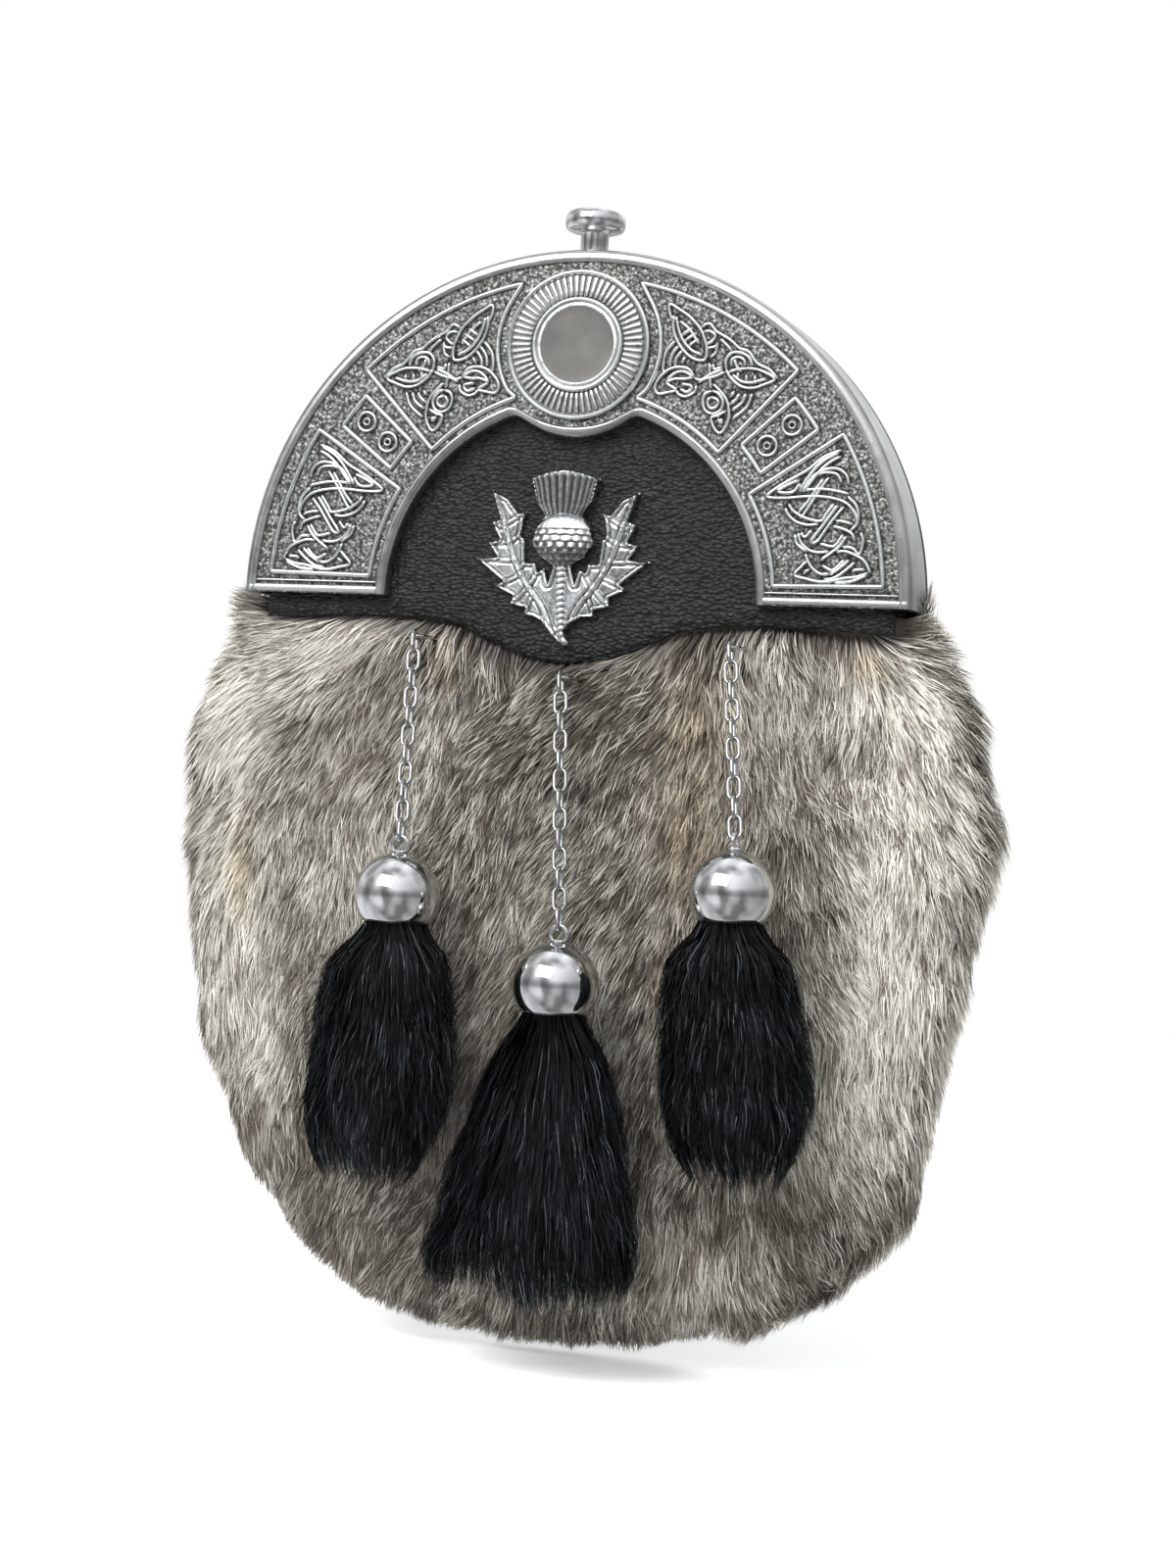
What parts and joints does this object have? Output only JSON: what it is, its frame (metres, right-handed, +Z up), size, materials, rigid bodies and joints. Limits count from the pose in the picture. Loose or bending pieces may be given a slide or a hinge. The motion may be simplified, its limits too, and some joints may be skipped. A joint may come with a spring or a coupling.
{
  "type": "sporran pouch",
  "caption": "Full-dress fur sporran: a hollow pouch under an arched metal cantle, with a thistle badge, ball-capped tassels on chains and a press knob.",
  "frame": {"origin": "centre of the passage through the leather hanger loop on the back, where the strap holds the sporran up", "axes": "+X to the right of someone who looks at the front, +Y to the back, +Z up; the front faces -Y"},
  "size_m": [0.1995, 0.056, 0.2563],
  "materials": {
    "antique_metal": "antiqued silver plate, bright on the raised lines",
    "chrome": "polished chrome plate",
    "badge_metal": "polished casting with darker hollows",
    "black_leather": "black pebbled leather",
    "fur": "long grey-brown rabbit fur with pale tips",
    "tassel_fur": "black fur"
  },
  "bodies": {
    "sporran": {"cantle": "antique_metal", "medallion": "antique_metal", "leather_front": "black_leather", "thistle_badge": "badge_metal", "pouch_shell": "black_leather", "fur_coat": "fur", "back_panel": "black_leather", "hanger_loop": "black_leather", "staple_left": "chrome", "staple_centre": "chrome", "staple_right": "chrome", "chain_left": "chrome", "chain_centre": "chrome", "chain_right": "chrome", "cap_left": "chrome", "cap_centre": "chrome", "cap_right": "chrome", "tassel_left": "tassel_fur", "tassel_centre": "tassel_fur", "tassel_right": "tassel_fur"},
    "knob": {"push_knob": "chrome"}
  },
  "joints": [
    {"name": "knob_press", "type": "slide", "parent": "sporran", "child": "knob", "axis": [0, 0, -1], "range_m": [0, 0.003], "stiffness_N_per_m": 800}
  ]
}
